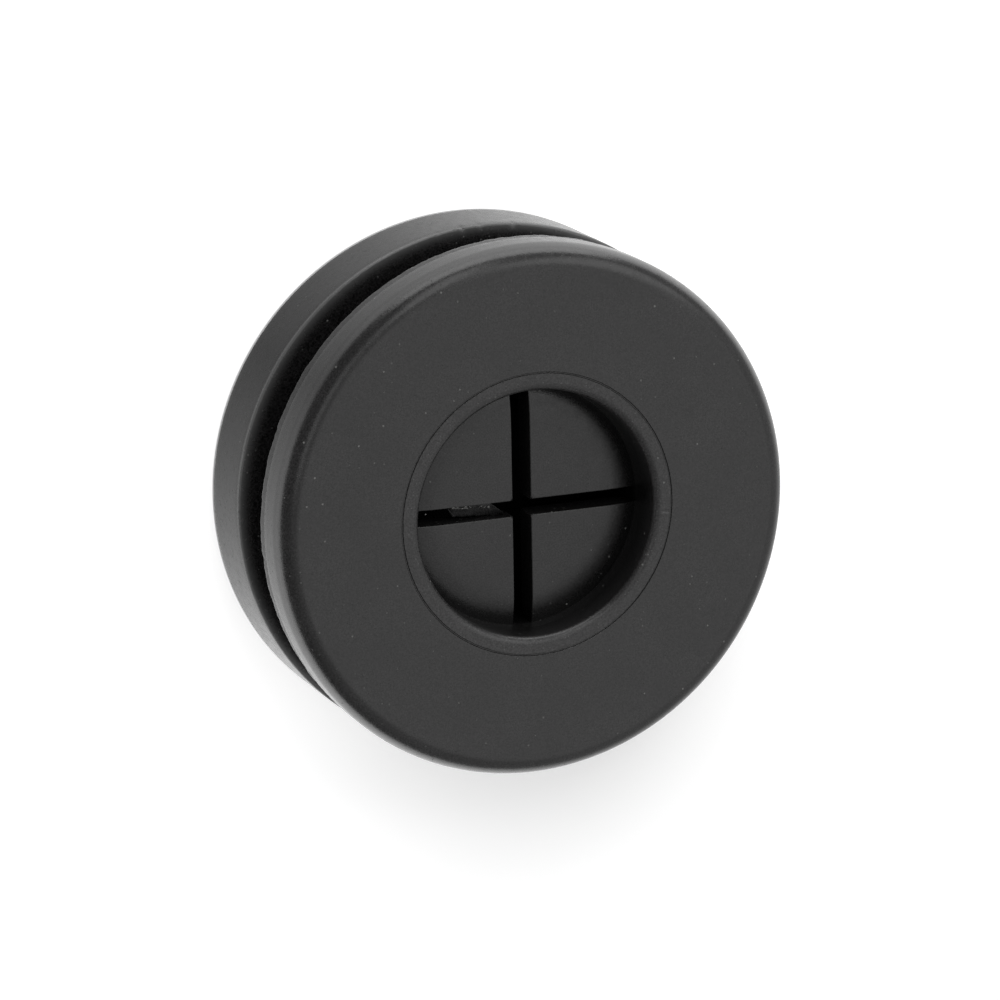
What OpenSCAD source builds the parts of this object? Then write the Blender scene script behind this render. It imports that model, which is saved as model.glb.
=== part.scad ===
// Rubber grommet for a round panel hole, moulded in one piece.
// Two flanges hold the panel's edge in the groove between them, and a membrane
// with a cross slit closes the bore, so that a cable can be pushed through it.
// Units are millimetres. The part lies on its rear face, centred on the origin,
// with +Z along the bore towards the front face.

/* [Flanges] */
// Diameter of both flanges
flange_d = 30; // [27:0.5:40]
// Thickness of the front flange
front_flange_t = 3.4; // [2.4:0.1:6]
// Thickness of the rear flange
rear_flange_t = 4.4; // [2.4:0.1:8]
// Radius of the front face's outer edge
front_round = 1.2; // [0.3:0.1:2]
// Radius of the rear face's outer edge
rear_round = 0.3; // [0.1:0.1:1.5]
// Radius of the two edges on either side of the groove
lip_round = 0.15; // [0.05:0.05:0.3]

/* [Panel groove] */
// Width of the groove, which takes the panel's thickness
groove_w = 3.5; // [1:0.1:8]
// Diameter of the neck, which sits in the panel's hole
neck_d = 22; // [18:0.5:24]

/* [Bore] */
// Diameter of the bore
bore_d = 13.9; // [9:0.1:15]
// Radius of the bore's mouths
mouth_round = 0.35; // [0.1:0.05:0.6]
// Width of the plain band round the front mouth
mouth_band_w = 0.65; // [0.3:0.05:1.5]
// Width of the fine line that rings the band
mouth_line_w = 0.15; // [0.1:0.05:0.3]
// Depth of that line
mouth_line_depth = 0.08; // [0.04:0.02:0.2]

/* [Membrane] */
// Depth of the flaps below the front face
flap_depth = 2.2; // [1:0.1:4]
// Thickness of the flaps
flap_t = 1.6; // [1.2:0.1:2.5]
// How far the flaps' front falls away at their root
root_fall = 0.3; // [0.3:0.1:1]
// Width of the band over which it falls
root_w = 1.2; // [1.2:0.1:2.5]
// How much the bore's radius narrows beside the root
root_taper = 0.1; // [0.05:0.05:0.3]

/* [Slits] */
// Width of the slit along X
slit_x_w = 0.9; // [0.2:0.1:1.5]
// Width of the slit along Y
slit_y_w = 1.1; // [0.2:0.1:1.5]
// How far short of the bore's wall the slits stop
slit_margin = 0.4; // [0.3:0.1:1]

/* [Torn edge] */
// Distance of the torn strip's inner end from the axis
tear_start = 1.2; // [0.8:0.1:1.6]
// Length of the strip along the slit
tear_l = 3.2; // [1.8:0.1:3.5]
// How far the strip reaches into the slit
tear_w = 0.65; // [0.1:0.05:0.7]
// Length of the slanted ends of the strip
tear_slant = 0.7; // [0.2:0.1:0.8]
// Depth of the strip's top below the flaps' front
tear_drop = 0.3; // [0.1:0.05:0.5]
// Thickness of the strip
tear_t = 0.5; // [0.2:0.1:0.7]

/* [Hidden] */
$fn = 96;

// How far a cut runs past the surface that it opens, or a lug into what carries it
past = 0.5;

flange_r = flange_d / 2;
neck_r = neck_d / 2;
bore_r = bore_d / 2;
height = rear_flange_t + groove_w + front_flange_t;
groove_top = rear_flange_t + groove_w;
mouth_line_r = bore_r + mouth_round + mouth_band_w;

flap_top = height - flap_depth;
flap_base = flap_top - flap_t;
root_top = flap_top - root_fall;
root_r = bore_r - root_taper;
flat_r = root_r - root_w;
slit_end_r = bore_r - slit_margin;
// Radius of the arc that falls by root_fall over root_w
fall_r = (root_w * root_w + root_fall * root_fall) / (2 * root_fall);

// What rounding takes off an outer corner. The corner points along +X and +Y,
// or along -X or -Y where sx or sy is -1.
module corner_cut(corner, r, sx, sy) {
    translate(corner)
        mirror([sx < 0 ? 1 : 0, 0])
            mirror([0, sy < 0 ? 1 : 0])
                difference() {
                    translate([-r, -r]) square(r + past);
                    translate([-r, -r]) circle(r);
                }
}

// Half section of the flanges and the neck between them
module body_section() {
    difference() {
        translate([bore_r, 0]) square([flange_r - bore_r, height]);
        translate([neck_r, rear_flange_t]) square([flange_r - neck_r + past, groove_w]);
        corner_cut([flange_r, height], front_round, 1, 1);
        corner_cut([flange_r, groove_top], lip_round, 1, -1);
        corner_cut([flange_r, rear_flange_t], lip_round, 1, 1);
        corner_cut([flange_r, 0], rear_round, 1, -1);
        corner_cut([bore_r, height], mouth_round, -1, 1);
        corner_cut([bore_r, 0], mouth_round, -1, -1);
        mouth_line_section();
    }
}

// Section of the fine line cut round the front mouth
module mouth_line_section() {
    polygon([
        [mouth_line_r - mouth_line_w / 2, height + past],
        [mouth_line_r - mouth_line_w / 2, height],
        [mouth_line_r, height - mouth_line_depth],
        [mouth_line_r + mouth_line_w / 2, height],
        [mouth_line_r + mouth_line_w / 2, height + past]
    ]);
}

// Half section of the membrane: flat flaps whose front curves down a little at the root
module membrane_section() {
    translate([0, flap_base]) square([flat_r, flap_t]);
    intersection() {
        translate([flat_r, flap_top - fall_r]) circle(fall_r);
        translate([flat_r, flap_base]) square([root_w, flap_t]);
    }
    translate([flat_r, flap_base]) square([bore_r + past - flat_r, flap_t - root_fall]);
    // the tapered foot of the wall beside the root
    polygon([
        [root_r, root_top],
        [bore_r, flap_top],
        [bore_r + past, flap_top],
        [bore_r + past, root_top]
    ]);
}

// The two crossing slits, which stop a little short of the bore's wall
module slits() {
    intersection() {
        translate([0, 0, flap_base - past]) cylinder(r = slit_end_r, h = flap_t + 2 * past);
        union() {
            translate([-bore_r, -slit_x_w / 2, flap_base - past])
                cube([bore_d, slit_x_w, flap_t + 2 * past]);
            translate([-slit_y_w / 2, -bore_r, flap_base - past])
                cube([slit_y_w, bore_d, flap_t + 2 * past]);
        }
    }
}

// The strip of rubber torn from one flap's edge, which hangs in the slit along X
module torn_strip() {
    edge_y = slit_x_w / 2;
    far_x = -tear_start - tear_l;
    translate([0, 0, flap_top - tear_drop - tear_t])
        linear_extrude(tear_t)
            polygon([
                [far_x, edge_y + past],
                [far_x, edge_y],
                [far_x + tear_slant, edge_y - tear_w],
                [-tear_start - tear_slant, edge_y - tear_w],
                [-tear_start, edge_y],
                [-tear_start, edge_y + past]
            ]);
}

module grommet() {
    color([0.05, 0.05, 0.05]) {
        difference() {
            rotate_extrude() {
                body_section();
                membrane_section();
            }
            slits();
        }
        torn_strip();
    }
}

grommet();
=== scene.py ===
"""The look of a moulded black rubber grommet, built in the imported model's frame.

The body is turned from its half section, the four flaps of the slit membrane are
built one by one, and the torn strip hangs in the slit along -X.

Lengths are in millimetres until mesh_object() writes them in metres. Only the
distances and sizes of the camera, the lamps and the floor are in metres from the
start. Azimuths, from +X round the bore's axis, and elevations are in degrees.
"""
import math
import random
from types import SimpleNamespace

import bmesh
import bpy
from mathutils import Matrix, Vector, noise

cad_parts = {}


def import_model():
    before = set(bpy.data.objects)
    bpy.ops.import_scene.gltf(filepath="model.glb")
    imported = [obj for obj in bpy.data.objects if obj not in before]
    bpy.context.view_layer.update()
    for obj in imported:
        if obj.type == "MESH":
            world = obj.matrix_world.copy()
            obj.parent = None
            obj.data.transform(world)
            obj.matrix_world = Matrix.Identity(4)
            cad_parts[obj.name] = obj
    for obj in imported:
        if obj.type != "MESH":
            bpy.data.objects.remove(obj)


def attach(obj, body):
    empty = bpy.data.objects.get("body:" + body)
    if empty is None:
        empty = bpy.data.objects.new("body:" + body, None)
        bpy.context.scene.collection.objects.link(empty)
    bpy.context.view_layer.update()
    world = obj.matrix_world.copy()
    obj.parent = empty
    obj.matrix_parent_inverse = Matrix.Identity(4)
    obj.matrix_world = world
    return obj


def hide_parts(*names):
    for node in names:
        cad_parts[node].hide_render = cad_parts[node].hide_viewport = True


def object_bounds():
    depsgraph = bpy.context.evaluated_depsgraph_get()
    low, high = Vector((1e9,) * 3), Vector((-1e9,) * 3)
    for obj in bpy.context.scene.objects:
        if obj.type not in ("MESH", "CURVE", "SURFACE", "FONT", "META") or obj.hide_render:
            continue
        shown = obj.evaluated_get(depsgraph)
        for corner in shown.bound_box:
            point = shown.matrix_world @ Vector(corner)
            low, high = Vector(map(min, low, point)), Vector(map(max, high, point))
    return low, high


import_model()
cad_low, cad_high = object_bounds()

MM = 0.001
SEED = 7

# How finely the shapes are built
SEGMENTS = 720
ARC_STEPS = 8
SECTION_STEP = 0.4
FLAP_COLUMNS, FLAP_ROWS = 150, 90
SHEET_COLUMNS, STRIP_ROWS, LIP_ROWS = 110, 12, 5
SHARP_ANGLE = math.radians(50)
MERGE_DISTANCE = 1e-5

# Overall sizes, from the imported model
FLANGE_R = (cad_high[0] - cad_low[0]) / 2 / MM
HEIGHT = (cad_high[2] - cad_low[2]) / MM

# Section sizes, as in the part's source
REAR_FLANGE_T = 4.4
GROOVE_W = 3.5
NECK_R = 11.0
FRONT_ROUND = 1.2
REAR_ROUND = 0.3
LIP_ROUND = 0.15
BORE_R = 6.95
MOUTH_ROUND = 0.35
MOUTH_BAND_W = 0.65
FLAP_DEPTH = 2.2
FLAP_T = 1.6
ROOT_FALL = 0.3
ROOT_W = 1.2
ROOT_TAPER = 0.1

# Section sizes that the part's source has plainer or not at all: how far the front
# mouth's rounded edge reaches into the band, the witness line round that band, and how
# far inside their roots the flaps start to fall
MOUTH_EDGE_W = 0.48
MOUTH_LINE_W = 0.12
MOUTH_LINE_DEPTH = 0.0608
DOME_W = 0.9

# Places that follow from these sizes
GROOVE_TOP = REAR_FLANGE_T + GROOVE_W
FLAP_TOP = HEIGHT - FLAP_DEPTH
ROOT_TOP = FLAP_TOP - ROOT_FALL
FLAP_BASE = FLAP_TOP - FLAP_T
ROOT_R = BORE_R - ROOT_TAPER
FLAT_R = ROOT_R - ROOT_W - DOME_W
MOUTH_LINE_R = BORE_R + MOUTH_ROUND + MOUTH_BAND_W

# The front flange's rear edge, a shallow dip and then a fine ridge of flash, as
# distances inward from the flange's side and up from the groove
FLASH_INWARD, FLASH_H = 0.03, 0.27
FRONT_LIP = [(0.0, 0.92), (0.02, 0.82), (0.09, 0.60), (0.10, 0.52), (0.05, 0.38),
             (FLASH_INWARD, FLASH_H), (0.04, 0.16), (0.10, 0.05), (0.20, 0.0)]

# How moulded edges waver: waves per millimetre of a coarse and a fine noise round the
# flange, and of the fine one upward
COARSE_WAVES, FINE_WAVES, FINE_WAVES_UP = 1.1, 5.0, 3
# for each edge, how far from it this reaches, and how far it moves the edge
FLASH_REACH, REAR_REACH, LINE_REACH = 0.36, 0.3, 0.35
FLASH_EVEN, FLASH_COARSE, FLASH_FINE = 0.02, 0.04, 0.05
REAR_EVEN, REAR_COARSE, REAR_FINE = 0.008, 0.01, 0.01
LINE_COARSE, LINE_FINE = 0.012, 0.02

# Small nicks in the flanges' edges: azimuth and half width in degrees, depth
REAR_NICKS = [(83.9, 0.45, 0.07), (91.6, 0.4, 0.06), (95.6, 0.45, 0.08), (101, 0.4, 0.04)]
FRONT_NICKS = [(53.7, 0.5, 0.09), (70.3, 0.6, 0.07), (158, 0.6, 0.06), (171, 0.5, 0.05),
               (186, 0.7, 0.06), (300, 0.6, 0.06)]

# A short scratch across the front mouth's band: azimuth and half width in degrees, then
# how far inside the witness line its middle lies, its reach and its depth
SCRATCH_AZIMUTH, SCRATCH_HALF = 355, 0.8
SCRATCH_INWARD, SCRATCH_REACH, SCRATCH_DEPTH = 0.25, 0.4, 0.06

# The slits, cut a little off the axis, and the flaps' edges along them
SLIT_X_W = 0.87
SLIT_Y_W = 1.06
SLIT_CENTRE = Vector((-0.08, -0.12))
SLIT_EDGE_ROUND = 0.07
MOST_EDGE_DROP = 1.3 * SLIT_EDGE_ROUND
# how deep the flaps reach into the bore's wall, and how their points crowd to it
FLAP_OVERLAP = 0.3
FLAP_CROWDING = 0.8

# The tear beside the slit along -X: its two ends, and where the strip parts from the flap
TEAR_OUTER, TEAR_INNER = -4.4, -0.95
TEAR_SPLIT = -1.95
TEAR_Y = SLIT_CENTRE.y + SLIT_X_W / 2
# how far torn edges and faces waver, and in how many waves per millimetre: along an
# edge, and for a face's crumples and streaks along X and across
TEAR_JAG = 0.05
JAG_WAVES, FINE_JAG_WAVES, FINE_JAG_SHARE = 3.1, 9, 0.6
CRUMPLE_WAVES, STREAK_WAVES = (2.0, 6), (1.2, 22)
# the strip's two long edges, as places along X and how far they lie towards the slit
STRIP_UPPER = [(TEAR_OUTER, 0.0), (TEAR_SPLIT, 0.0), (TEAR_INNER, 0.8)]
STRIP_LOWER = [(TEAR_OUTER, 0.03), (TEAR_OUTER + 0.45, 0.72), (TEAR_SPLIT, 0.90),
               (TEAR_INNER, 0.97)]
# it starts this far inside the flap and below its top, slopes down across the slit,
# hangs lower towards the crossing, and curls up a little at its free edge
STRIP_INSIDE, STRIP_BELOW = 0.05, 0.18
STRIP_SLOPE, STRIP_HANG, STRIP_T = 0.50, 0.22, 0.1
CURL_AT, CURL_W, CURL_H, CURL_FADE = 0.9, 0.1, 0.10, 0.2
# the torn lip sticks out of the flap, most where the strip parts from it
TEAR_LIP = 0.19
LIP_START, LIP_INSIDE, LIP_BELOW, LIP_SLOPE, LIP_T = 0.3, 0.08, 0.015, 0.08, 0.12

# Small crumbs of torn rubber along the lip, thickest at its outer end, with ranges for
# how far aside they lie and for their size, paleness and stretch
CRUMB_COUNT = 44
CRUMB_START, CRUMB_CROWDING, CRUMB_BELOW = 0.2, 1.3, 0.03
CRUMB_ASIDE, CRUMB_SIZE = (-0.05, 0.07), (0.018, 0.042)
CRUMB_PALENESS, CRUMB_STRETCH = (0.03, 0.3), (1, 2.4)
# they are palest up to this share of the lip's length
PALEST_SHARE = 0.4
# how lumpy a crumb is, in how many waves, how unlike the next one, and how flat
CRUMB_LUMPS, CRUMB_WAVES, CRUMB_VARIETY, CRUMB_FLATNESS = 0.5, 2.5, 7, 0.8
# two larger ones on their own: place, size and paleness
LONE_CRUMBS = [(Vector((-5.64, 0.06, FLAP_TOP - 0.35)), 0.05, 0.5),
               (Vector((TEAR_SPLIT - 0.12, TEAR_Y - TEAR_LIP + 0.04, FLAP_TOP)), 0.07, 0.3)]

# Colours of the rubber, of the painted light at the groove's edge, and of what lies on it, the
# dust from dull to pale
RUBBER_COLOUR = (0.0047, 0.0045, 0.0046)
GROOVE_PAINTED_LIGHT_COLOUR = (0.07, 0.07, 0.07, 1)
GRIT_COLOUR = (0.06, 0.06, 0.06, 1)
DULL_DUST, PALE_DUST = (0.025, 0.025, 0.025, 1), (0.13, 0.13, 0.125, 1)
WORN_COLOUR = (0.30, 0.30, 0.29, 1)

# The rubber's patterns: scale is in waves or cells per millimetre, radius is that of a
# spot against its cell, and share says how many cells have a spot
GRAIN = {"scale": 11.0, "roughness": 0.6}
LUMPS = {"scale": 2.6}
CLOUDS = {"scale": 0.35, "detail": 3.0}
DUST = {"scale": 2.0, "radius": 0.14, "share": 0.4}
GRIT = {"scale": 5.5, "radius": 0.26, "share": 0.3}
PITS = {"scale": 3.1, "radius": 0.16, "share": 0.10}
# how strongly the grit shows, and how rare pale dust is
GRIT_STRENGTH = 0.7
DUST_RARITY = 3.0
# the range that the noise of the grain, and that of the lumps and clouds, mostly keeps to
GRAIN_RANGE, NOISE_RANGE = (0.33, 0.67), (0.3, 0.7)

# How much these patterns and places change the rubber's colour; in the recess's corner the
# darkening is painted shade
GRAIN_TONE = 3.0
CLOUD_TONE = 0.2
BAND_TONE, CORNER_PAINTED_SHADE, PIT_TONE = 1.6, 0.3, 0.3

# The rubber's roughness, and how much rougher or smoother some places are
RUBBER_ROUGHNESS, LUMP_ROUGHNESS = 0.25, 0.04
FLAP_ROUGHER = 0.15
ROOT_SMOOTHER = 0.08
WALL_ROUGHER = 0.2
BAND_ROUGHER = 0.08
TORN_ROUGHER = 0.3
DUST_ROUGHER = 0.3

# The relief of the rubber's surface, and the share of it that each pattern has
RELIEF_STRENGTH, RELIEF_HEIGHT = 0.3, 0.02
LUMP_RELIEF, PIT_RELIEF, DUST_RELIEF = 0.7, 1.5, 1.5

# Radii between which the finish changes: in the corner of the recess, darkened there as painted
# shade and smoother, on its wall, just outside that wall, at the end of the band, and at the side
# of the rear flange, where light is painted
CORNER_PAINTED_SHADE_R = (FLAT_R + 1.2, ROOT_R - 0.1)
CORNER_ROUGH_R = (FLAT_R + 1.1, ROOT_R - 0.15)
WALL_R = (ROOT_R - 0.05, ROOT_R + 0.01)
PAST_WALL_R = (BORE_R + 0.02, BORE_R + 0.08)
PAST_BAND_R = (MOUTH_LINE_R, MOUTH_LINE_R + 0.1)
REAR_SIDE_R = (FLANGE_R - 1.0, FLANGE_R - 0.15)

# Heights between which it changes: up the recess, below the front face, and below and
# above the edge of the groove
RECESS_Z = (FLAP_TOP + 0.8, HEIGHT)
FRONT_Z = (HEIGHT - 0.35, HEIGHT - 0.2)
BELOW_GROOVE_Z = (REAR_FLANGE_T - 0.3, REAR_FLANGE_T - 0.1)
ABOVE_GROOVE_Z = (REAR_FLANGE_T + 0.1, REAR_FLANGE_T + 0.2)
# how fast the painted light on that edge fades inward
GROOVE_PAINTED_LIGHT_FADE = 2.5

# The camera: where it stands seen from the front face, the point in millimetres that it
# aims at, and the azimuth that points up in its picture
CAMERA_AZIMUTH, CAMERA_ELEVATION = 144.94, 63.84
CAMERA_DISTANCE = 0.27375
CAMERA_AIM = Vector((-2.24, 1.085, HEIGHT))
PICTURE_UP_AZIMUTH = 88.89
LENS, SENSOR_W, CLIP_START = 180, 36, 0.01

# The softboxes: azimuth, elevation, distance, width, height and brightness, of which 1
# looks as bright as white
LEFT_AZIMUTH, BACK_AZIMUTH = 210, 80
SOFTBOXES = {
    "left_softbox": (LEFT_AZIMUTH, 12, 0.36, 0.46, 0.15, 3.3),
    "back_softbox": (BACK_AZIMUTH, 12, 0.36, 0.46, 0.15, 3.3),
    "back_right_fill": (33, 50, 1.0, 0.45, 0.7, 1.4),
    "back_fill": (88, 51, 1.0, 0.35, 0.62, 1.9),
    "camera_side_fill": (160, 66, 1.0, 0.42, 0.30, 0.9),
    "front_fill": (325, 64, 1.0, 0.7, 0.7, 0.35),
}
# no highlight of this one shows on the grommet
UNREFLECTED = "left_softbox"

# The world: its bright side, and its light away from that side and on it
BRIGHT_AZIMUTH, BRIGHT_ELEVATION = 350, 40
WORLD_DIM, WORLD_BRIGHT = 0.3, 0.83

# The floor, and its colour outside the grommet, and painted shade: its dark colour below the bore
FLOOR_SIZE = 6
FLOOR_COLOUR, PAINTED_SHADE_BELOW_BORE = (0.95, 0.95, 0.95, 1), (0.01, 0.01, 0.01, 1)
PAINTED_SHADE_BELOW_BORE_R = BORE_R + MOUTH_ROUND + 0.1

# The floor in reflections glows, with painted shade towards the camera and painted pools of light
# below the two low softboxes, more and more so between these radii
CAMERA_SIDE_PAINTED_SHADE = 0.78
PAINTED_POOL_R = (17.0, 36.0)
PAINTED_POOL_NEAR, PAINTED_POOL_FAR = 0.35, 2.2

# How much whiter than lit the camera sees the floor: painted light fading outward round the
# grommet, and growing to plain white further out
NEAR_R = (17.0, 50.0)
NEAR_PAINTED_LIGHT, NEAR_PAINTED_LIGHT_END = 0.36, 0.06
FAR_R = (60.0, 200.0)
FLOOR_GLOW, PLAIN_WHITE = 0.17, 1.0
# the side without that painted light, and with a painted shadow close to the grommet
PAINTED_SHADOW_AZIMUTH = 300
PAINTED_SHADOW_R = (20.0, 27.0)
PAINTED_SHADOW_DEPTH = 0.15
# how narrow the gap in the painted light is, and how narrow the painted shadow
PAINTED_LIGHT_GAP_NARROWNESS, PAINTED_SHADOW_NARROWNESS = 2.0, 3.0


# --------------------------------------------------------------------- helpers


def mesh_object(name, bm):
    """A smooth-shaded object from a bmesh in millimetres."""
    bmesh.ops.recalc_face_normals(bm, faces=bm.faces)
    bm.transform(Matrix.Scale(MM, 4))
    mesh = bpy.data.meshes.new(name)
    bm.to_mesh(mesh)
    bm.free()
    mesh.shade_smooth()
    obj = bpy.data.objects.new(name, mesh)
    bpy.context.scene.collection.objects.link(obj)
    return obj


def direction(azimuth, elevation=0):
    """Unit vector that points this way."""
    turn, rise = math.radians(azimuth), math.radians(elevation)
    return Vector((math.cos(turn) * math.cos(rise), math.sin(turn) * math.cos(rise),
                   math.sin(rise)))


def arc(centre_r, centre_z, radius, start, end, steps=ARC_STEPS):
    """Points of an arc in the half section, angles in degrees."""
    points = []
    for i in range(steps + 1):
        angle = math.radians(start + (end - start) * i / steps)
        points.append((centre_r + radius * math.cos(angle),
                       centre_z + radius * math.sin(angle)))
    return points


def line(start, end, steps):
    """Points along a straight line, without its ends."""
    return [(start[0] + (end[0] - start[0]) * i / steps,
             start[1] + (end[1] - start[1]) * i / steps) for i in range(1, steps)]


def slab(bm, fronts, backs):
    """The faces of a slab between two grids of points, given column by column."""
    columns, rows = len(fronts) - 1, len(fronts[0]) - 1
    for i in range(columns):
        for j in range(rows):
            corners = ((i, j), (i + 1, j), (i + 1, j + 1), (i, j + 1))
            bm.faces.new([fronts[a][b] for a, b in corners])
            bm.faces.new([backs[a][b] for a, b in reversed(corners)])
    border = [(i, 0) for i in range(columns)]
    border += [(columns, j) for j in range(rows)]
    border += [(i, rows) for i in range(columns, 0, -1)]
    border += [(0, j) for j in range(rows, 0, -1)]
    for (a, b), (c, d) in zip(border, border[1:] + border[:1]):
        bm.faces.new((fronts[a][b], backs[a][b], backs[c][d], fronts[c][d]))


# ------------------------------------------------------------------- the body


def front_lip():
    """The front flange's rear edge, with its ridge of flash."""
    return [(FLANGE_R - inward, GROOVE_TOP + up) for inward, up in FRONT_LIP]


def front_mouth():
    """The front mouth's rounded edge, a little wider than it is deep."""
    steps = 2 * ARC_STEPS
    angles = [math.pi / 2 * i / steps for i in range(steps + 1)]
    return [(BORE_R + MOUTH_EDGE_W * (1 - math.cos(angle)),
             HEIGHT - MOUTH_ROUND * (1 - math.sin(angle))) for angle in angles]


def witness_line():
    """The fine sharp line round the front mouth's band."""
    half, low = MOUTH_LINE_W / 2, HEIGHT - MOUTH_LINE_DEPTH
    return [(MOUTH_LINE_R - half, HEIGHT), (MOUTH_LINE_R - half / 3, low),
            (MOUTH_LINE_R + half / 3, low), (MOUTH_LINE_R + half, HEIGHT)]


def body_section():
    """The closed half section of the two flanges, the neck and the bore's wall."""
    corners = [
        [(ROOT_R, ROOT_TOP), (BORE_R, FLAP_TOP)],
        front_mouth(),
        witness_line(),
        arc(FLANGE_R - FRONT_ROUND, HEIGHT - FRONT_ROUND, FRONT_ROUND, 90, 0, 3 * ARC_STEPS),
        front_lip(),
        [(NECK_R, GROOVE_TOP), (NECK_R, REAR_FLANGE_T)],
        arc(FLANGE_R - LIP_ROUND, REAR_FLANGE_T - LIP_ROUND, LIP_ROUND, 90, 0),
        arc(FLANGE_R - REAR_ROUND, REAR_ROUND, REAR_ROUND, 0, -90),
        arc(BORE_R + MOUTH_ROUND, MOUTH_ROUND, MOUTH_ROUND, -90, -180),
        [(BORE_R, FLAP_BASE), (ROOT_R, FLAP_BASE)],
    ]
    section = []
    for i, group in enumerate(corners):
        section += group
        following = corners[(i + 1) % len(corners)][0]
        gap = math.dist(group[-1], following)
        section += line(group[-1], following, max(2, round(gap / SECTION_STEP)))
    return section


def near(r, z, at_r, at_z, reach):
    """1 at a point of the section, fading to 0 at this reach from it."""
    return max(0.0, 1 - math.hypot(r - at_r, z - at_z) / reach)


def degrees_from(angle, azimuth):
    """How far an angle in radians lies from an azimuth, in degrees."""
    return abs((math.degrees(angle) - azimuth + 180) % 360 - 180)


def nick_depth(places, angle):
    """Depth of a flange edge's small nicks at this angle."""
    return max(depth * max(0.0, 1 - (degrees_from(angle, azimuth) / half) ** 2)
               for azimuth, half, depth in places)


def worn(r, z, angle, rear_nick, front_nick):
    """A point of the section with the wavering edges and nicks of the moulding."""
    around = Vector((math.cos(angle), math.sin(angle), 0)) * FLANGE_R
    coarse = noise.noise(around * COARSE_WAVES + Vector((0, 0, z)))
    fine = noise.noise(around * FINE_WAVES + Vector((0, 0, FINE_WAVES_UP * z)))
    flash = near(r, z, FLANGE_R - FLASH_INWARD, GROOVE_TOP + FLASH_H, FLASH_REACH)
    rear_lip = near(r, z, FLANGE_R, REAR_FLANGE_T, REAR_REACH)
    mouth_line = near(r, z, MOUTH_LINE_R, HEIGHT, LINE_REACH)
    r -= flash * (FLASH_EVEN - FLASH_COARSE * coarse - FLASH_FINE * fine + front_nick)
    r -= rear_lip * (REAR_EVEN - REAR_COARSE * coarse - REAR_FINE * fine + rear_nick)
    z -= rear_lip * rear_nick
    r += mouth_line * LINE_FINE * fine
    z += mouth_line * LINE_COARSE * coarse
    beside = degrees_from(angle, SCRATCH_AZIMUTH) / SCRATCH_HALF
    scratch = near(r, z, MOUTH_LINE_R - SCRATCH_INWARD, HEIGHT, SCRATCH_REACH)
    z -= SCRATCH_DEPTH * scratch * max(0.0, 1 - beside)
    return min(r, FLANGE_R), min(z, HEIGHT)


def turned_body():
    """The body, turned from its half section."""
    bm = bmesh.new()
    section = body_section()
    rings = []
    for i in range(SEGMENTS):
        angle = 2 * math.pi * i / SEGMENTS
        rear_nick, front_nick = nick_depth(REAR_NICKS, angle), nick_depth(FRONT_NICKS, angle)
        ring = []
        for r, z in section:
            r, z = worn(r, z, angle, rear_nick, front_nick)
            ring.append(bm.verts.new((r * math.cos(angle), r * math.sin(angle), z)))
        rings.append(ring)
    for i in range(SEGMENTS):
        ring, following = rings[i], rings[(i + 1) % SEGMENTS]
        for j in range(len(section)):
            k = (j + 1) % len(section)
            bm.faces.new((ring[j], following[j], following[k], ring[k]))
    body = mesh_object("grommet_body", bm)
    body.data.set_sharp_from_angle(angle=SHARP_ANGLE)
    return body


# ------------------------------------------------------------------ the flaps


def flap_height(r):
    """Height of a flap's front at radius r: flat, then curving down to the root."""
    if r <= FLAT_R:
        return FLAP_TOP
    if r >= ROOT_R:
        return ROOT_TOP
    return FLAP_TOP - ROOT_FALL * ((r - FLAT_R) / (ROOT_R - FLAT_R)) ** 2


def edge_drop(distance):
    """How far a rounded slit edge lies below the flap at this distance from it."""
    if distance >= SLIT_EDGE_ROUND:
        return 0.0
    inward = SLIT_EDGE_ROUND - distance
    return SLIT_EDGE_ROUND - math.sqrt(SLIT_EDGE_ROUND ** 2 - inward ** 2)


def flap(quadrant_x, quadrant_y):
    """One flap, as a fan from its tip at the slits' crossing to the bore's wall."""
    tip = Vector((SLIT_CENTRE.x + quadrant_x * SLIT_Y_W / 2,
                  SLIT_CENTRE.y + quadrant_y * SLIT_X_W / 2))
    outer = BORE_R + FLAP_OVERLAP
    start = math.asin(abs(tip.y) / outer)
    end = math.acos(abs(tip.x) / outer)
    bm = bmesh.new()
    tops, bases = [], []
    for i in range(FLAP_COLUMNS + 1):
        share = (1 - math.cos(math.pi * i / FLAP_COLUMNS)) / 2
        angle = start + (end - start) * share
        rim = Vector((outer * math.cos(angle) * quadrant_x, outer * math.sin(angle) * quadrant_y))
        top, base = [], []
        for j in range(FLAP_ROWS + 1):
            point = tip.lerp(rim, (j / FLAP_ROWS) ** FLAP_CROWDING)
            drop = edge_drop(abs(point.x - tip.x)) + edge_drop(abs(point.y - tip.y))
            height = flap_height(point.length) - min(drop, MOST_EDGE_DROP)
            top.append(bm.verts.new((point.x, point.y, height)))
            base.append(bm.verts.new((point.x, point.y, FLAP_BASE)))
        tops.append(top)
        bases.append(base)
    slab(bm, tops, bases)
    # the columns meet at the tip
    bmesh.ops.remove_doubles(bm, verts=bm.verts, dist=MERGE_DISTANCE)
    made = mesh_object("flap", bm)
    made.data.set_sharp_from_angle(angle=SHARP_ANGLE)
    return made


# ------------------------------------------------------------------- the tear


def between(x, points):
    """Straight-line value at x along (x, value) points in rising order of x."""
    for (x0, y0), (x1, y1) in zip(points, points[1:]):
        if x <= x1:
            return y0 + (y1 - y0) * max(0.0, (x - x0) / (x1 - x0))
    return points[-1][1]


def jagged(x):
    """How the torn edge wavers at x, in coarse and fine teeth."""
    coarse = noise.noise(Vector((x * JAG_WAVES, 0.3, 0)))
    fine = noise.noise(Vector((x * FINE_JAG_WAVES, 2.1, 0)))
    return coarse + FINE_JAG_SHARE * fine


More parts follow.
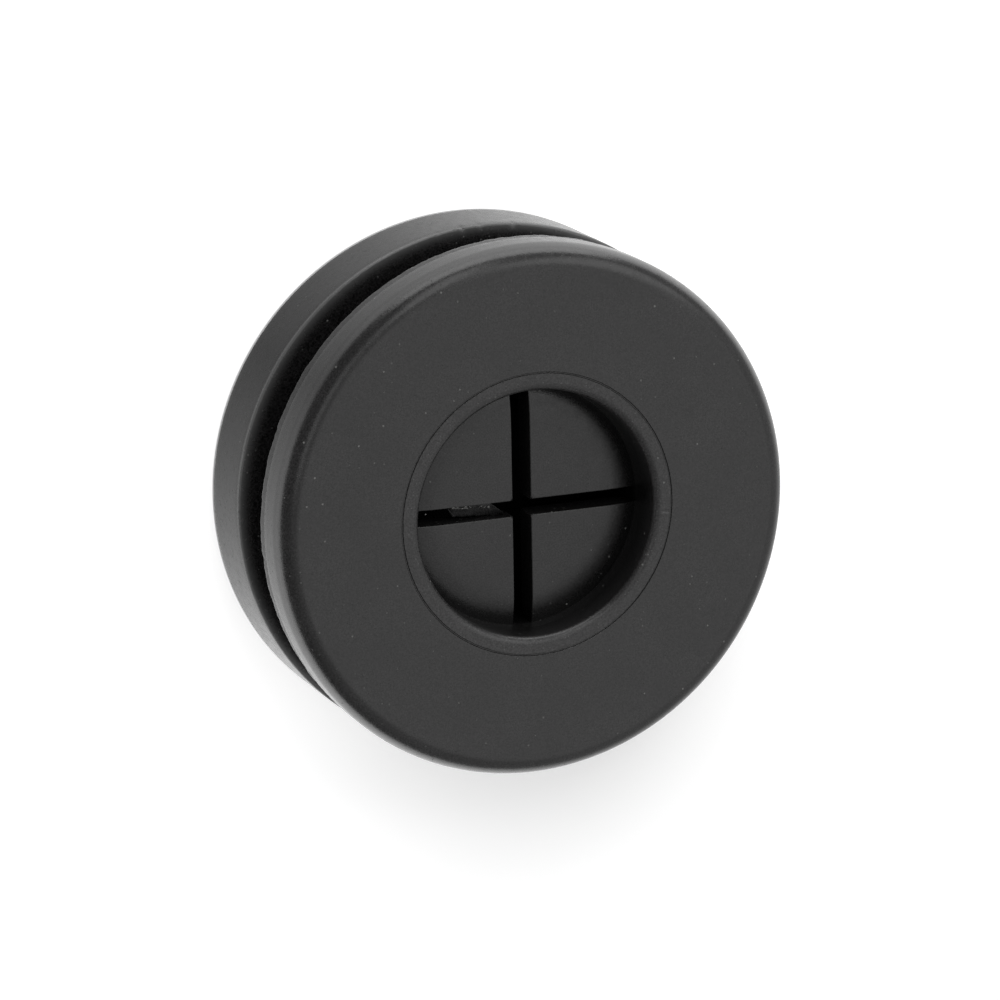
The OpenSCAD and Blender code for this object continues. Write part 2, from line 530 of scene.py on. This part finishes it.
def crumpled(x, y):
    """How a torn face wavers: in broad crumples and in streaks along X."""
    crumple = noise.noise(Vector((x * CRUMPLE_WAVES[0], y * CRUMPLE_WAVES[1], 1.7)))
    streak = noise.noise(Vector((x * STREAK_WAVES[0], y * STREAK_WAVES[1], 4.0)))
    return crumple + streak


def ragged_sheet(name, upper, lower, height, thickness, rows):
    """A thin torn sheet between two edges, with a jagged border and a crumpled top."""
    start, end = upper[0][0], upper[-1][0]
    bm = bmesh.new()
    torn = bm.verts.layers.float.new("torn")
    fronts, backs = [], []
    for i in range(SHEET_COLUMNS + 1):
        x = start + (end - start) * i / SHEET_COLUMNS
        top_y, low_y = between(x, upper), between(x, lower) + TEAR_JAG * jagged(x)
        front, back = [], []
        for j in range(rows + 1):
            across = j / rows
            y = top_y + (low_y - top_y) * across
            z = height(x, across) + TEAR_JAG * crumpled(x, y)
            front.append(bm.verts.new((x, y, z)))
            back.append(bm.verts.new((x, y, z - thickness)))
            front[-1][torn] = back[-1][torn] = 1.0
        fronts.append(front)
        backs.append(back)
    slab(bm, fronts, backs)
    return mesh_object(name, bm)


def torn_strip():
    """The thin strip torn from a flap's edge, which hangs lower towards the crossing."""
    edge_y = TEAR_Y + STRIP_INSIDE
    upper = [(x, edge_y - inward) for x, inward in STRIP_UPPER]
    lower = [(x, edge_y - inward) for x, inward in STRIP_LOWER]

    def height(x, across):
        """The strip's height at x and at a share of its width."""
        along = (x - TEAR_OUTER) / (TEAR_INNER - TEAR_OUTER)
        curl = math.exp(-((across - CURL_AT) / CURL_W) ** 2) * max(0.0, CURL_H - CURL_FADE * along)
        return FLAP_TOP - STRIP_BELOW - STRIP_SLOPE * across - STRIP_HANG * along ** 2 + curl

    return ragged_sheet("torn_strip", upper, lower, height, STRIP_T, STRIP_ROWS)


def torn_lip():
    """The uneven edge that the tear left on the flap, widest where it ends."""
    start = TEAR_OUTER + LIP_START
    upper = [(start, TEAR_Y + LIP_INSIDE), (TEAR_SPLIT, TEAR_Y + LIP_INSIDE)]
    lower = [(start, TEAR_Y), (TEAR_SPLIT, TEAR_Y - TEAR_LIP)]

    def height(x, across):
        """The lip's height, the same at every x, at a share of its width."""
        return FLAP_TOP - LIP_BELOW - LIP_SLOPE * across ** 2

    return ragged_sheet("torn_lip", upper, lower, height, LIP_T, LIP_ROWS)


def crumb(place, size, paleness, stretch=1.0):
    """A lumpy crumb of torn rubber that still clings to its edge."""
    bm = bmesh.new()
    wear = bm.verts.layers.float.new("wear")
    bmesh.ops.create_icosphere(bm, subdivisions=2, radius=size)
    shape = Vector((stretch, 1, CRUMB_FLATNESS))
    for vert in bm.verts:
        around = vert.co * (CRUMB_WAVES / size) + place * CRUMB_VARIETY
        lump = 1 + CRUMB_LUMPS * noise.noise(around)
        vert.co = place + vert.co * shape * lump
        vert[wear] = paleness
    return mesh_object("crumb", bm)


def torn_crumbs():
    """Whitened crumbs along the torn lip, and the two on their own."""
    crumbs = [crumb(*lone) for lone in LONE_CRUMBS]
    start = TEAR_OUTER + CRUMB_START
    for _ in range(CRUMB_COUNT):
        along = random.random() ** CRUMB_CROWDING
        x = start + along * (TEAR_SPLIT - start)
        y = TEAR_Y - TEAR_LIP * along + random.uniform(*CRUMB_ASIDE)
        size = random.uniform(*CRUMB_SIZE)
        paleness = random.uniform(*CRUMB_PALENESS) * (1.0 if along < PALEST_SHARE else 0.5)
        stretch = random.uniform(*CRUMB_STRETCH)
        crumbs.append(crumb(Vector((x, y, FLAP_TOP - CRUMB_BELOW)), size, paleness, stretch))
    return crumbs


# --------------------------------------------------------------- shader graphs


class Graph:
    """Short ways to add nodes to a material or a world and join them."""

    def __init__(self, owner):
        owner.use_nodes = True
        self.tree = owner.node_tree

    def node(self, kind, **settings):
        """A new node with these settings."""
        made = self.tree.nodes.new("ShaderNode" + kind)
        for key, value in settings.items():
            setattr(made, key, value)
        return made

    def feed(self, socket, value):
        """Sets a socket, or joins it to another node's output."""
        if isinstance(value, bpy.types.NodeSocket):
            self.tree.links.new(value, socket)
        else:
            socket.default_value = value

    def attribute(self, name):
        """A value stored at the mesh's points."""
        return self.node("Attribute", attribute_name=name).outputs["Fac"]

    def math(self, operation, first, second, clamp=False):
        """One operation on two values."""
        made = self.node("Math", operation=operation, use_clamp=clamp)
        self.feed(made.inputs[0], first)
        self.feed(made.inputs[1], second)
        return made.outputs[0]

    def product(self, first, *others):
        """Several values multiplied."""
        for other in others:
            first = self.math("MULTIPLY", first, other)
        return first

    def total(self, first, *others):
        """Several values added up."""
        for other in others:
            first = self.math("ADD", first, other)
        return first

    def vector(self, operation, first, second=None):
        """A node for one operation on vectors."""
        made = self.node("VectorMath", operation=operation)
        self.feed(made.inputs[0], first)
        if second is not None:
            self.feed(made.inputs[1], second)
        return made

    def noise(self, place, scale, detail=2.0, roughness=0.5):
        """Soft noise round 0.5."""
        made = self.node("TexNoise")
        for name, value in (("Vector", place), ("Scale", scale), ("Detail", detail),
                            ("Roughness", roughness)):
            self.feed(made.inputs[name], value)
        return made.outputs["Fac"]

    def spread(self, value, low, high, new_low, new_high):
        """A value from one range, moved to another and kept inside it."""
        made = self.node("MapRange")
        for name, number in (("Value", value), ("From Min", low), ("From Max", high),
                             ("To Min", new_low), ("To Max", new_high)):
            self.feed(made.inputs[name], number)
        return made.outputs["Result"]

    def rise(self, value, low, high):
        """0 below a range, 1 above it."""
        return self.spread(value, low, high, 0.0, 1.0)

    def fall(self, value, low, high):
        """1 below a range, 0 above it."""
        return self.spread(value, low, high, 1.0, 0.0)

    def factor(self, mask, inside):
        """1 outside a mask, this factor inside it."""
        return self.spread(mask, 0.0, 1.0, 1.0, inside)

    def spots(self, place, scale, radius, share):
        """Small round spots: (mask, a random number for each spot)."""
        cells = self.node("TexVoronoi")
        self.feed(cells.inputs["Vector"], place)
        self.feed(cells.inputs["Scale"], scale)
        split = self.node("SeparateColor")
        self.feed(split.inputs["Color"], cells.outputs["Color"])
        inside = self.fall(cells.outputs["Distance"], radius * 0.5, radius)
        chosen = self.math("LESS_THAN", split.outputs["Red"], share)
        return self.product(inside, chosen), split.outputs["Green"]

    def blend(self, amount, first, second):
        """A mix of two colours."""
        made = self.node("Mix", data_type="RGBA")
        self.feed(made.inputs["Factor"], amount)
        self.feed(made.inputs["A"], first)
        self.feed(made.inputs["B"], second)
        return made.outputs["Result"]

    def in_mm(self, place):
        """A place in metres, in millimetres."""
        scaled = self.vector("SCALE", place)
        self.feed(scaled.inputs["Scale"], 1 / MM)
        return scaled.outputs[0]

    def length(self, vector):
        """A vector's length."""
        return self.vector("LENGTH", vector).outputs["Value"]

    def toward(self, vector, azimuth, elevation=0):
        """How much a vector points this way: 1 straight along it, 0 beside and behind."""
        level = self.vector("NORMALIZE", vector).outputs[0]
        dot = self.vector("DOT_PRODUCT", level, direction(azimuth, elevation))
        return self.math("MAXIMUM", dot.outputs["Value"], 0.0)


# ------------------------------------------------------------------ the rubber


def rubber_marks(graph):
    """What the rubber's finish follows: its patterns, and masks of its special places."""
    place = graph.in_mm(graph.node("TexCoord").outputs["Object"])
    split = graph.node("SeparateXYZ")
    graph.feed(split.inputs[0], place)
    high = split.outputs["Z"]
    from_axis = graph.length(graph.vector("MULTIPLY", place, (1, 1, 0)).outputs[0])
    # the corner between the flaps and the wall, deep in the recess, darkened as painted shade
    corner = graph.product(graph.rise(from_axis, *CORNER_PAINTED_SHADE_R), graph.fall(high, *RECESS_Z),
                           graph.fall(from_axis, *PAST_WALL_R))
    # the edge where the rear flange turns into the groove, with painted light: lighter grey
    # towards the flange's side
    groove_painted_light = graph.product(
        graph.rise(high, *BELOW_GROOVE_Z), graph.fall(high, *ABOVE_GROOVE_Z),
        graph.math("POWER", graph.rise(from_axis, *REAR_SIDE_R), GROOVE_PAINTED_LIGHT_FADE))
    # the band round the front mouth
    band = graph.product(graph.rise(high, *FRONT_Z), graph.fall(from_axis, *PAST_BAND_R))
    dust, dust_tone = graph.spots(place, **DUST)
    return SimpleNamespace(
        from_axis=from_axis, corner=corner, groove_painted_light=groove_painted_light, band=band,
        grain=graph.noise(place, **GRAIN), lumps=graph.noise(place, **LUMPS),
        clouds=graph.noise(place, **CLOUDS), dust=dust, dust_tone=dust_tone,
        grit=graph.product(graph.spots(place, **GRIT)[0], band, GRIT_STRENGTH),
        pits=graph.spots(place, **PITS)[0])


def rubber_colour(graph, marks):
    """Near black, uneven with grain and clouds, darker in the recess's corner with painted shade,
    lighter at the groove's edge with painted light, under grit, dust and pale wear.
    """
    tone = graph.product(
        graph.spread(marks.grain, *GRAIN_RANGE, 0.0, GRAIN_TONE),
        graph.factor(marks.band, BAND_TONE),
        graph.spread(marks.clouds, *NOISE_RANGE, 1 - CLOUD_TONE, 1 + CLOUD_TONE),
        graph.factor(marks.corner, CORNER_PAINTED_SHADE),
        graph.factor(marks.pits, PIT_TONE))
    black = graph.node("CombineColor")
    for channel, value in zip(("Red", "Green", "Blue"), RUBBER_COLOUR):
        graph.feed(black.inputs[channel], graph.product(tone, value))
    dust_colour = graph.blend(graph.math("POWER", marks.dust_tone, DUST_RARITY),
                              DULL_DUST, PALE_DUST)
    # painted light: the groove's edge turns lighter grey towards the flange's side
    colour = graph.blend(marks.groove_painted_light, black.outputs[0], GROOVE_PAINTED_LIGHT_COLOUR)
    colour = graph.blend(marks.grit, colour, GRIT_COLOUR)
    colour = graph.blend(marks.dust, colour, dust_colour)
    return graph.blend(graph.attribute("wear"), colour, WORN_COLOUR)


def rubber_roughness(graph, marks):
    """Uneven: rougher on the flaps, wall, band, dust and torn rubber, smoother in the corner."""
    roughness = graph.total(
        graph.spread(marks.lumps, *NOISE_RANGE,
                     RUBBER_ROUGHNESS - LUMP_ROUGHNESS, RUBBER_ROUGHNESS + LUMP_ROUGHNESS),
        graph.spread(marks.from_axis, *CORNER_ROUGH_R, FLAP_ROUGHER, -ROOT_SMOOTHER),
        graph.spread(marks.from_axis, *WALL_R, 0.0, ROOT_SMOOTHER + WALL_ROUGHER),
        graph.spread(marks.from_axis, *PAST_WALL_R, 0.0, -WALL_ROUGHER),
        graph.product(marks.band, BAND_ROUGHER),
        graph.product(graph.attribute("torn"), TORN_ROUGHER))
    return graph.math("ADD", roughness, graph.product(marks.dust, DUST_ROUGHER), clamp=True)


def rubber_relief(graph, marks):
    """Fine relief: grain, shallow lumps, pits and dust."""
    bump = graph.node("Bump")
    graph.feed(bump.inputs["Strength"], RELIEF_STRENGTH)
    graph.feed(bump.inputs["Distance"], RELIEF_HEIGHT * MM)
    graph.feed(bump.inputs["Height"], graph.total(
        marks.grain, graph.product(marks.lumps, LUMP_RELIEF),
        graph.product(marks.pits, -PIT_RELIEF), graph.product(marks.dust, DUST_RELIEF)))
    return bump.outputs["Normal"]


def rubber():
    """Matt black moulded rubber: fine grain, faint clouds, pits, dust and pale tears, with painted
    shade in the recess's corner and painted light at the groove's edge.
    """
    material = bpy.data.materials.new("moulded_rubber")
    graph = Graph(material)
    shader = graph.tree.nodes["Principled BSDF"]
    marks = rubber_marks(graph)
    graph.feed(shader.inputs["Base Color"], rubber_colour(graph, marks))
    graph.feed(shader.inputs["Roughness"], rubber_roughness(graph, marks))
    graph.feed(shader.inputs["Normal"], rubber_relief(graph, marks))
    shader.inputs["Specular IOR Level"].default_value = 0.5
    return material


# ----------------------------------------------------------------- the grommet


def joined(name, parts):
    """Several objects as one, under a new name."""
    bpy.ops.object.select_all(action="DESELECT")
    for part in parts:
        part.select_set(True)
    bpy.context.view_layer.objects.active = parts[0]
    bpy.ops.object.join()
    parts[0].name = name
    return parts[0]


def grommet():
    """The whole grommet as one piece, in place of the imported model's."""
    parts = [turned_body()]
    parts += [flap(quadrant_x, quadrant_y) for quadrant_x in (1, -1) for quadrant_y in (1, -1)]
    parts += [torn_strip(), torn_lip()]
    parts += torn_crumbs()
    piece = joined("grommet_rubber", parts)
    piece.data.materials.clear()
    piece.data.materials.append(rubber())
    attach(piece, "root")
    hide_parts("grommet")


# ------------------------------------------------------------------ the studio


def painted_floor_reflection(graph, place, radius):
    """The floor that the rubber reflects, glowing with painted shade towards the camera and
    painted pools of light below the two low softboxes.
    """
    painted_pools = graph.math("MAXIMUM", graph.toward(place, LEFT_AZIMUTH),
                       graph.toward(place, BACK_AZIMUTH))
    painted_shade = graph.product(graph.toward(place, CAMERA_AZIMUTH), CAMERA_SIDE_PAINTED_SHADE)
    white = graph.node("Emission")
    graph.feed(white.inputs["Strength"], graph.total(
        graph.math("SUBTRACT", 1.0, painted_shade),
        graph.product(painted_pools, graph.spread(radius, *PAINTED_POOL_R, PAINTED_POOL_NEAR, PAINTED_POOL_FAR))))
    return white.outputs[0]


def floor_painted_light_and_shadow(graph, place, radius):
    """How much whiter than lit the camera sees the floor: painted light near the grommet, a
    painted shadow on one side, and plain white further out.
    """
    toward_painted_shadow = graph.toward(place, PAINTED_SHADOW_AZIMUTH)
    off_painted_shadow = graph.math("SUBTRACT", 1.0, graph.math("POWER", toward_painted_shadow, PAINTED_LIGHT_GAP_NARROWNESS))
    near_painted_light = graph.product(graph.spread(radius, *NEAR_R, NEAR_PAINTED_LIGHT, NEAR_PAINTED_LIGHT_END), off_painted_shadow)
    painted_shade = graph.product(graph.math("POWER", toward_painted_shadow, PAINTED_SHADOW_NARROWNESS),
                          graph.spread(radius, *PAINTED_SHADOW_R, PAINTED_SHADOW_DEPTH, 0.0))
    far_glow = graph.spread(radius, *FAR_R, FLOOR_GLOW, PLAIN_WHITE)
    return graph.total(graph.math("SUBTRACT", near_painted_light, painted_shade), far_glow)


def floor_material():
    """White floor: it keeps the shadow, has painted shade below the bore, and painted light and a
    painted shadow where the camera sees it; in reflections it glows, with painted light and shade.
    """
    material = bpy.data.materials.new("floor")
    graph = Graph(material)
    shader = graph.tree.nodes["Principled BSDF"]
    shader.inputs["Roughness"].default_value = 1
    shader.inputs["Specular IOR Level"].default_value = 0
    shader.inputs["Emission Color"].default_value = (1, 1, 1, 1)
    place = graph.in_mm(graph.node("NewGeometry").outputs["Position"])
    radius = graph.length(place)
    # painted shade: the floor is coloured dark inside the bore, where the slits look into it
    painted_shade_in_bore = graph.math("LESS_THAN", radius, PAINTED_SHADE_BELOW_BORE_R)
    graph.feed(shader.inputs["Base Color"], graph.blend(painted_shade_in_bore, FLOOR_COLOUR, PAINTED_SHADE_BELOW_BORE))
    outside = graph.math("GREATER_THAN", radius, FLANGE_R)
    path = graph.node("LightPath").outputs
    graph.feed(shader.inputs["Emission Strength"], graph.product(
        path["Is Camera Ray"], floor_painted_light_and_shadow(graph, place, radius), outside))
    mix = graph.node("MixShader")
    graph.feed(mix.inputs["Fac"], graph.product(path["Is Glossy Ray"], outside))
    graph.feed(mix.inputs[1], shader.outputs[0])
    graph.feed(mix.inputs[2], painted_floor_reflection(graph, place, radius))
    graph.feed(graph.tree.nodes["Material Output"].inputs["Surface"], mix.outputs[0])
    return material


def floor():
    """The floor that the grommet stands on."""
    bpy.ops.mesh.primitive_plane_add(size=FLOOR_SIZE, location=(0, 0, cad_low[2]))
    plane = bpy.context.object
    plane.name = "studio_floor"
    plane.data.materials.append(floor_material())


def world():
    """White surroundings, brightest up on one side and dim on the other."""
    scene_world = bpy.data.worlds.new("studio")
    bpy.context.scene.world = scene_world
    graph = Graph(scene_world)
    background = graph.tree.nodes["Background"]
    background.inputs["Color"].default_value = (1, 1, 1, 1)
    way = graph.node("TexCoord").outputs["Generated"]
    share = graph.toward(way, BRIGHT_AZIMUTH, BRIGHT_ELEVATION)
    light = graph.spread(share, 0.0, 1.0, WORLD_DIM, WORLD_BRIGHT)
    # plain white where the camera sees it
    seen = graph.node("LightPath").outputs["Is Camera Ray"]
    graph.feed(background.inputs["Strength"], graph.math("MAXIMUM", light, seen))


def placed(name, data, place, right, up):
    """A lamp or camera at this place, with these directions to its right and up."""
    obj = bpy.data.objects.new(name, data)
    axes = Matrix((right, up, right.cross(up))).transposed().to_4x4()
    obj.matrix_world = Matrix.Translation(place) @ axes
    bpy.context.scene.collection.objects.link(obj)
    return obj


def softbox(name, azimuth, elevation, distance, width, height, brightness):
    """A flat soft lamp that faces the grommet."""
    lamp = bpy.data.lights.new(name, "AREA")
    lamp.shape = "RECTANGLE"
    lamp.size, lamp.size_y = width, height
    lamp.energy = brightness * math.pi * width * height
    backward, right = direction(azimuth, elevation), direction(azimuth + 90)
    obj = placed(name, lamp, backward * distance, right, backward.cross(right))
    obj.visible_camera = False
    obj.visible_glossy = name != UNREFLECTED


def lamps():
    """Two wide low softboxes, beside and behind, with weaker ones higher up."""
    for name, settings in SOFTBOXES.items():
        softbox(name, *settings)


def camera():
    """A long lens looking down at the front face from its upper left."""
    outward = direction(CAMERA_AZIMUTH, CAMERA_ELEVATION)
    place = Vector((0, 0, HEIGHT * MM)) + outward * CAMERA_DISTANCE
    backward = (place - CAMERA_AIM * MM).normalized()
    right = direction(PICTURE_UP_AZIMUTH).cross(backward).normalized()
    lens = bpy.data.cameras.new("camera")
    lens.lens = LENS
    lens.sensor_width = SENSOR_W
    lens.clip_start = CLIP_START
    bpy.context.scene.camera = placed("camera", lens, place, right, backward.cross(right))


random.seed(SEED)
grommet()
floor()
world()
lamps()
camera()
bpy.context.scene.view_settings.view_transform = "Standard"
